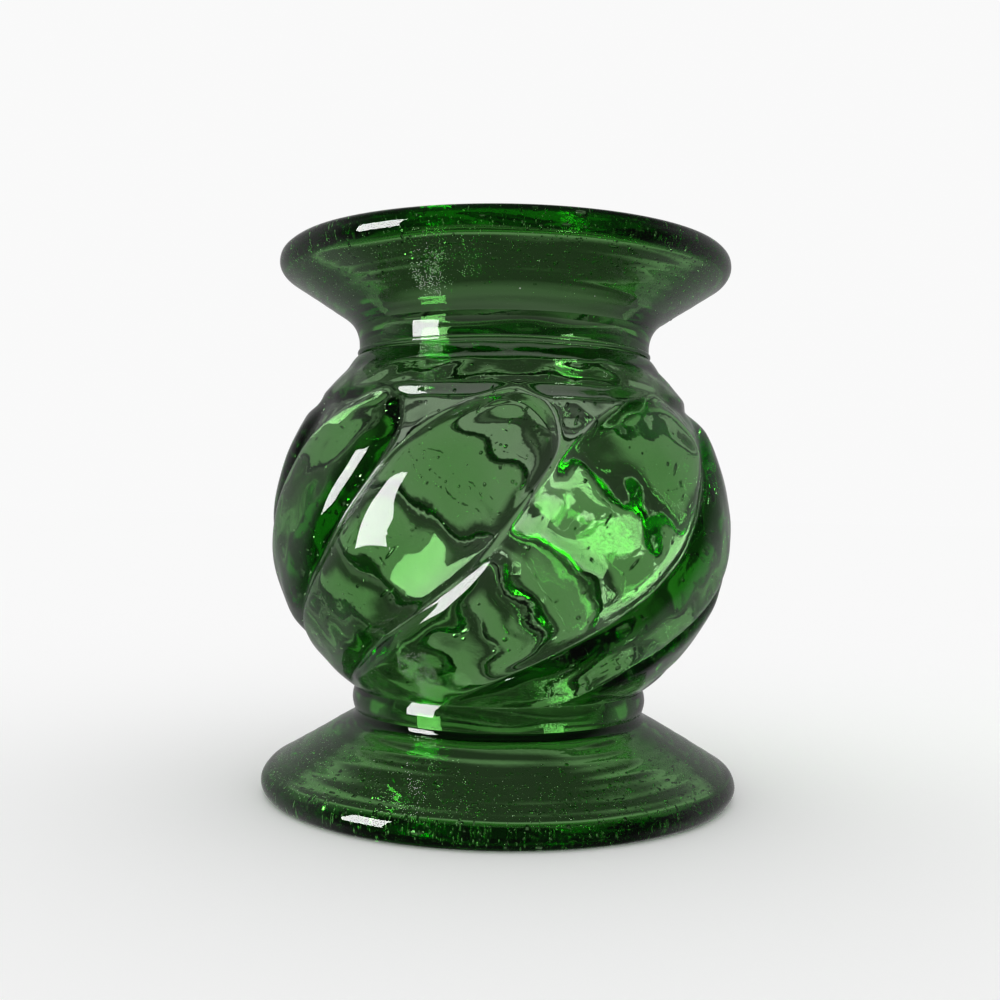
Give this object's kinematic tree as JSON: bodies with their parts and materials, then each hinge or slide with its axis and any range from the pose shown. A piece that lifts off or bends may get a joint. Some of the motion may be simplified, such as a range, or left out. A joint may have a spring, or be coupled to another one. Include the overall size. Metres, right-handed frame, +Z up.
{
  "type": "candlestick",
  "caption": "Blown green glass candlestick: a swirl-ribbed hollow globe between a flared candle cup and a flared foot.",
  "frame": {"origin": "centre of the standing plane under the foot", "axes": "+Z up the candlestick's axis, out of the cup's mouth; -Y is the front"},
  "size_m": [0.106, 0.106, 0.12],
  "materials": {
    "green_glass": "fire-polished, clear bottle green with small seeds"
  },
  "bodies": {
    "root": {"foot": "green_glass", "foot_ring": "green_glass", "globe": "green_glass", "neck_ring": "green_glass", "flared_cup": "green_glass"}
  },
  "joints": []
}
